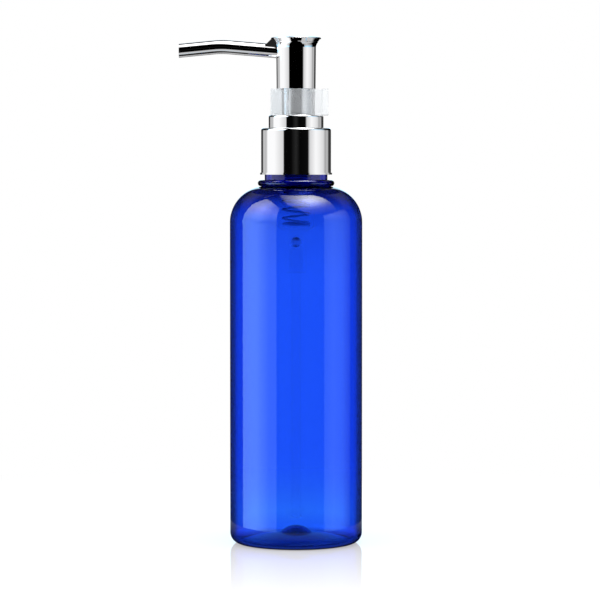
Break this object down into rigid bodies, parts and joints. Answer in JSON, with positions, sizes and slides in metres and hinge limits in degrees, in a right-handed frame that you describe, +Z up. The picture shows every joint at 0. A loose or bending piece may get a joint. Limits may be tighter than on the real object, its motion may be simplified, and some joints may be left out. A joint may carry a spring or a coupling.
{
  "type": "lotion pump bottle",
  "caption": "Tall round blue plastic bottle with a bright stepped closure, a lock clip round the stem and a flared swivelling pump head with a bent side spout.",
  "frame": {"origin": "the bottle's axis at the plane of its base's flat contact ring", "axes": "+Z up along the bottle's axis, the spout points to -X and the clip's grip bar to +X"},
  "size_m": [0.0691, 0.05, 0.192],
  "materials": {
    "blue_pet": "clear blue blown plastic, glossy",
    "white_foam": "soft white sealing foam",
    "bright_aluminium": "mirror-polished, lacquered",
    "white_moulding": "natural white moulding",
    "milky_moulding": "natural translucent moulding",
    "guide_moulding": "natural white moulding",
    "ball_steel": "ground and polished steel",
    "clear_tube": "clear extruded tube",
    "spring_wire": "drawn stainless wire",
    "piston_moulding": "soft natural moulding",
    "rod_moulding": "natural moulding",
    "bright_stem": "moulding with a mirror-bright metallised coat",
    "bright_plated_moulding": "moulding with a mirror-bright metallised coat",
    "frosted_clip": "frosted translucent moulding"
  },
  "bodies": {
    "bottle": {"bottle": "blue_pet"},
    "pump": {"pump_housing": "milky_moulding", "stem_guide": "guide_moulding", "dip_tube": "clear_tube", "gasket": "white_foam", "return_spring": "spring_wire"},
    "closure": {"closure_shell": "bright_aluminium", "closure_liner": "white_moulding"},
    "piston": {"piston": "piston_moulding"},
    "head": {"piston_rod": "rod_moulding", "stem": "bright_stem", "head": "bright_plated_moulding"},
    "clip": {"lock_clip": "frosted_clip"},
    "inlet_valve": {"inlet_ball": "ball_steel"}
  },
  "joints": [
    {"name": "pump_lift", "type": "slide", "parent": "bottle", "child": "pump", "axis": [0, 0, 1], "range_m": [0, 0.00476]},
    {"name": "closure_turn", "type": "hinge", "parent": "pump", "child": "closure", "pos_m": [0, 0, 0.15], "axis": [0, 0, 1], "range_deg": [0, 540]},
    {"name": "head_press", "type": "slide", "parent": "pump", "child": "piston", "axis": [0, 0, 1], "range_m": [-0.0095, 0], "stiffness_N_per_m": 420, "springref_m": 0.012, "deforming": ["return_spring"]},
    {"name": "head_turn", "type": "hinge", "parent": "piston", "child": "head", "pos_m": [0, 0, 0.16], "axis": [0, 0, 1], "continuous": true},
    {"name": "clip_pull", "type": "slide", "parent": "pump", "child": "clip", "axis": [-1, 0, 0], "range_m": [-0.028, 0], "deforming": ["lock_clip"]},
    {"name": "inlet_lift", "type": "slide", "parent": "pump", "child": "inlet_valve", "axis": [0, 0, 1], "range_m": [0, 0.0014]}
  ],
  "couplings": [
    {"joint": "closure_turn", "follows": "pump_lift", "rad_per_m": 1979}
  ]
}
